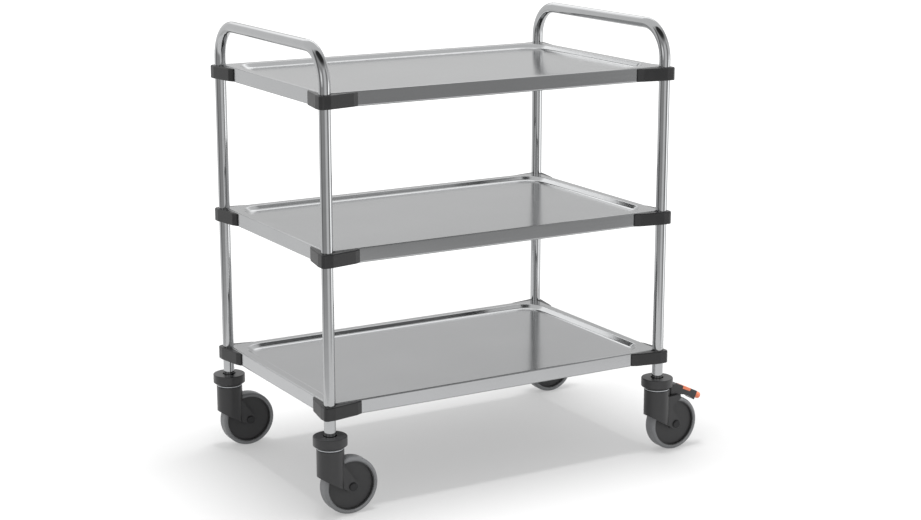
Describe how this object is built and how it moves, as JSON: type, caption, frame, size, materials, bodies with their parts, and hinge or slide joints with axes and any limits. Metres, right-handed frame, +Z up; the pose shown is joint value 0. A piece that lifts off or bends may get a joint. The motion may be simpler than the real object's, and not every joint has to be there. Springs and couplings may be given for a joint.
{
  "type": "serving trolley",
  "caption": "Serving trolley of bent steel tube bows and pressed steel shelves, joined by moulded corner connectors, on swivel casters with foot brakes.",
  "frame": {"origin": "on the floor, under the middle of the overall box", "axes": "+Z up, +X along the long side towards the braked casters, +Y from the front to the back"},
  "size_m": [0.9984, 0.598, 0.998],
  "materials": {
    "polished_tube": "polished stainless tube",
    "brushed_sheet": "brushed stainless sheet",
    "black_connector": "moulded, fine grain",
    "black_moulding": "moulded, smooth matt",
    "axle_cap": "blackened steel",
    "wheel_disc": "moulded, smooth matt",
    "grey_tyre": "grey non-marking rubber",
    "orange_plastic": "moulded, satin",
    "brake_rubber": "moulded",
    "plain_steel": "zinc plated"
  },
  "bodies": {
    "frame": {"left_bow": "polished_tube", "right_bow": "polished_tube", "top_shelf": "brushed_sheet", "middle_shelf": "brushed_sheet", "bottom_shelf": "brushed_sheet", "top_front_left_connector": "black_connector", "top_front_right_connector": "black_connector", "top_back_right_connector": "black_connector", "top_back_left_connector": "black_connector", "middle_front_left_connector": "black_connector", "middle_front_right_connector": "black_connector", "middle_back_right_connector": "black_connector", "middle_back_left_connector": "black_connector", "bottom_front_left_connector": "black_connector", "bottom_front_right_connector": "black_connector", "bottom_back_right_connector": "black_connector", "bottom_back_left_connector": "black_connector", "corner_screws": "plain_steel", "swivel_bearings": "plain_steel", "front_left_collar": "black_moulding", "front_left_stem": "plain_steel", "front_left_expander": "black_moulding", "front_right_collar": "black_moulding", "front_right_stem": "plain_steel", "front_right_expander": "black_moulding", "back_right_collar": "black_moulding", "back_right_stem": "plain_steel", "back_right_expander": "black_moulding", "back_left_collar": "black_moulding", "back_left_stem": "plain_steel", "back_left_expander": "black_moulding"},
    "front_left_swivel": {"front_left_housing": "black_moulding", "front_left_axle": "axle_cap"},
    "front_left_wheel": {"front_left_rim": "wheel_disc", "front_left_tyre": "grey_tyre", "front_left_wheel_bearings": "plain_steel"},
    "front_right_swivel": {"front_right_housing": "black_moulding", "front_right_axle": "axle_cap", "front_right_pedal_pin": "axle_cap"},
    "front_right_wheel": {"front_right_rim": "wheel_disc", "front_right_tyre": "grey_tyre", "front_right_wheel_bearings": "plain_steel"},
    "front_right_pedal": {"front_right_brake_pedal": "black_moulding", "front_right_pedal_insert": "orange_plastic"},
    "front_right_shoe": {"front_right_brake_shoe": "brake_rubber"},
    "back_right_swivel": {"back_right_housing": "black_moulding", "back_right_axle": "axle_cap", "back_right_pedal_pin": "axle_cap"},
    "back_right_wheel": {"back_right_rim": "wheel_disc", "back_right_tyre": "grey_tyre", "back_right_wheel_bearings": "plain_steel"},
    "back_right_pedal": {"back_right_brake_pedal": "black_moulding", "back_right_pedal_insert": "orange_plastic"},
    "back_right_shoe": {"back_right_brake_shoe": "brake_rubber"},
    "back_left_swivel": {"back_left_housing": "black_moulding", "back_left_axle": "axle_cap"},
    "back_left_wheel": {"back_left_rim": "wheel_disc", "back_left_tyre": "grey_tyre", "back_left_wheel_bearings": "plain_steel"}
  },
  "joints": [
    {"name": "front_left_swivel_turn", "type": "hinge", "parent": "frame", "child": "front_left_swivel", "pos_m": [-0.46275, -0.2625, 0.149], "axis": [0, 0, 1], "continuous": true},
    {"name": "front_left_wheel_spin", "type": "hinge", "parent": "front_left_swivel", "child": "front_left_wheel", "pos_m": [-0.42075, -0.2625, 0.0625], "axis": [0, 1, 0], "continuous": true},
    {"name": "front_right_swivel_turn", "type": "hinge", "parent": "frame", "child": "front_right_swivel", "pos_m": [0.37725, -0.2625, 0.149], "axis": [0, 0, 1], "continuous": true},
    {"name": "front_right_wheel_spin", "type": "hinge", "parent": "front_right_swivel", "child": "front_right_wheel", "pos_m": [0.41925, -0.2625, 0.0625], "axis": [0, 1, 0], "continuous": true},
    {"name": "front_right_pedal_press", "type": "hinge", "parent": "front_right_swivel", "child": "front_right_pedal", "pos_m": [0.39325, -0.2625, 0.1353], "axis": [0, 1, 0], "range_deg": [0, 7]},
    {"name": "front_right_shoe_slide", "type": "slide", "parent": "front_right_swivel", "child": "front_right_shoe", "axis": [0.3015, 0, -0.9535], "range_m": [0, 0.002]},
    {"name": "back_right_swivel_turn", "type": "hinge", "parent": "frame", "child": "back_right_swivel", "pos_m": [0.37725, 0.2625, 0.149], "axis": [0, 0, 1], "continuous": true},
    {"name": "back_right_wheel_spin", "type": "hinge", "parent": "back_right_swivel", "child": "back_right_wheel", "pos_m": [0.41925, 0.2625, 0.0625], "axis": [0, 1, 0], "continuous": true},
    {"name": "back_right_pedal_press", "type": "hinge", "parent": "back_right_swivel", "child": "back_right_pedal", "pos_m": [0.39325, 0.2625, 0.1353], "axis": [0, 1, 0], "range_deg": [0, 7]},
    {"name": "back_right_shoe_slide", "type": "slide", "parent": "back_right_swivel", "child": "back_right_shoe", "axis": [0.3015, 0, -0.9535], "range_m": [0, 0.002]},
    {"name": "back_left_swivel_turn", "type": "hinge", "parent": "frame", "child": "back_left_swivel", "pos_m": [-0.46275, 0.2625, 0.149], "axis": [0, 0, 1], "continuous": true},
    {"name": "back_left_wheel_spin", "type": "hinge", "parent": "back_left_swivel", "child": "back_left_wheel", "pos_m": [-0.42075, 0.2625, 0.0625], "axis": [0, 1, 0], "continuous": true}
  ],
  "couplings": [
    {"joint": "front_right_shoe_slide", "follows": "front_right_pedal_press", "m_per_rad": 0.016354},
    {"joint": "back_right_shoe_slide", "follows": "back_right_pedal_press", "m_per_rad": 0.016354}
  ]
}
